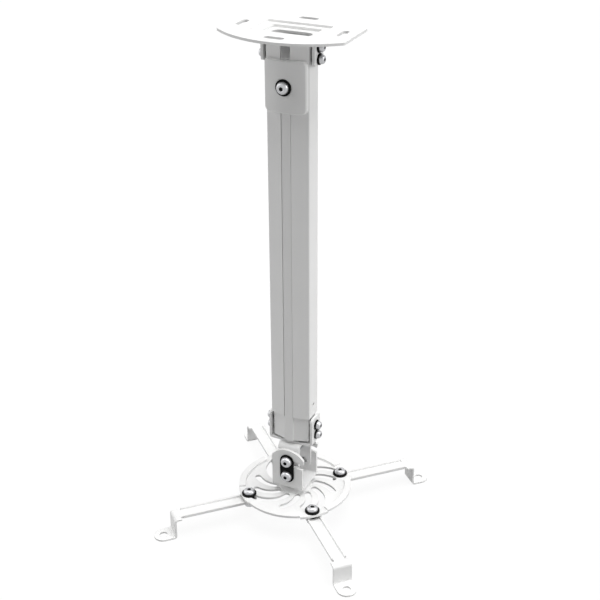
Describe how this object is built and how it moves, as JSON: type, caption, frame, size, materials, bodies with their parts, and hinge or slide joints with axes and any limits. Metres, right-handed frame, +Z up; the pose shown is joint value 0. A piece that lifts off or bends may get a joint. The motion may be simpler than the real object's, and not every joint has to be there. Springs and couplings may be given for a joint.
{
  "type": "projector ceiling mount",
  "caption": "Telescoping ceiling mount for a projector, with a slotted disc and cranked arms on a tilting knuckle.",
  "frame": {"origin": "centre of the ceiling plate's top face, which bears on the ceiling", "axes": "+Z up towards the ceiling, +X along the plate's long side, -Y to the column's front with the clamp"},
  "size_m": [0.1842, 0.1842, 0.4241],
  "materials": {
    "white_coat": "smooth satin powder coat",
    "black_plastic": "moulded, dull",
    "zinc_steel": "zinc plated"
  },
  "bodies": {
    "ceiling": {"ceiling_plate": "white_coat", "top_bracket": "white_coat"},
    "column": {"outer_column": "white_coat", "top_screws": "zinc_steel", "top_washers": "black_plastic", "top_spacers": "black_plastic", "top_nuts": "zinc_steel"},
    "extension": {"inner_column": "white_coat", "clamp_cap": "white_coat", "clamp_screw": "zinc_steel", "clamp_washer": "black_plastic", "clamp_nut_plate": "zinc_steel", "foot_screws": "zinc_steel", "foot_washers": "black_plastic", "foot_spacers": "black_plastic", "foot_nuts": "zinc_steel"},
    "foot": {"foot_bracket": "white_coat", "tilt_knuckle": "white_coat", "knuckle_bolt": "zinc_steel", "knuckle_nut": "zinc_steel", "pivot_bolt": "zinc_steel", "pivot_nut": "zinc_steel"},
    "tilt": {"tilt_clevis": "white_coat", "front_washer_plate": "black_plastic", "rear_washer_plate": "black_plastic", "lock_bolt": "zinc_steel", "lock_nut": "zinc_steel", "swivel_bolt": "zinc_steel", "swivel_washer": "black_plastic", "swivel_seat": "zinc_steel", "swivel_nut": "zinc_steel"},
    "disc": {"arm_plate": "white_coat"},
    "bolt_right": {"arm_bolt_right": "zinc_steel", "arm_washer_right": "black_plastic", "arm_spacer_right": "black_plastic", "arm_nut_right": "zinc_steel"},
    "arm_right": {"arm_right": "white_coat"},
    "bolt_rear": {"arm_bolt_rear": "zinc_steel", "arm_washer_rear": "black_plastic", "arm_spacer_rear": "black_plastic", "arm_nut_rear": "zinc_steel"},
    "arm_rear": {"arm_rear": "white_coat"},
    "bolt_left": {"arm_bolt_left": "zinc_steel", "arm_washer_left": "black_plastic", "arm_spacer_left": "black_plastic", "arm_nut_left": "zinc_steel"},
    "arm_left": {"arm_left": "white_coat"},
    "bolt_front": {"arm_bolt_front": "zinc_steel", "arm_washer_front": "black_plastic", "arm_spacer_front": "black_plastic", "arm_nut_front": "zinc_steel"},
    "arm_front": {"arm_front": "white_coat"}
  },
  "joints": [
    {"name": "top_level", "type": "hinge", "parent": "ceiling", "child": "column", "pos_m": [0, 0, -0.0115], "axis": [1, 0, 0], "range_deg": [-5, 5]},
    {"name": "column_slide", "type": "slide", "parent": "column", "child": "extension", "axis": [0, 0, -1], "range_m": [0, 0.22]},
    {"name": "foot_level", "type": "hinge", "parent": "extension", "child": "foot", "pos_m": [0, 0, -0.3341], "axis": [1, 0, 0], "range_deg": [-5, 5]},
    {"name": "tilt_joint", "type": "hinge", "parent": "foot", "child": "tilt", "pos_m": [0, 0, -0.3668], "axis": [0, 1, 0], "range_deg": [-15, 15]},
    {"name": "swivel", "type": "hinge", "parent": "tilt", "child": "disc", "pos_m": [0, 0, -0.4001], "axis": [0, 0, 1], "continuous": true},
    {"name": "slot_right", "type": "hinge", "parent": "disc", "child": "bolt_right", "pos_m": [0.01972, 0.01095, -0.4001], "axis": [0, 0, 1], "range_deg": [0, 15]},
    {"name": "swing_right", "type": "hinge", "parent": "bolt_right", "child": "arm_right", "pos_m": [0.0297, 0.0297, -0.4052], "axis": [0, 0, 1], "range_deg": [-45, 45]},
    {"name": "slot_rear", "type": "hinge", "parent": "disc", "child": "bolt_rear", "pos_m": [-0.01095, 0.01972, -0.4001], "axis": [0, 0, 1], "range_deg": [0, 15]},
    {"name": "swing_rear", "type": "hinge", "parent": "bolt_rear", "child": "arm_rear", "pos_m": [-0.0297, 0.0297, -0.4052], "axis": [0, 0, 1], "range_deg": [-45, 45]},
    {"name": "slot_left", "type": "hinge", "parent": "disc", "child": "bolt_left", "pos_m": [-0.01972, -0.01095, -0.4001], "axis": [0, 0, 1], "range_deg": [0, 15]},
    {"name": "swing_left", "type": "hinge", "parent": "bolt_left", "child": "arm_left", "pos_m": [-0.0297, -0.0297, -0.4052], "axis": [0, 0, 1], "range_deg": [-45, 45]},
    {"name": "slot_front", "type": "hinge", "parent": "disc", "child": "bolt_front", "pos_m": [0.01095, -0.01972, -0.4001], "axis": [0, 0, 1], "range_deg": [0, 15]},
    {"name": "swing_front", "type": "hinge", "parent": "bolt_front", "child": "arm_front", "pos_m": [0.0297, -0.0297, -0.4052], "axis": [0, 0, 1], "range_deg": [-45, 45]}
  ]
}
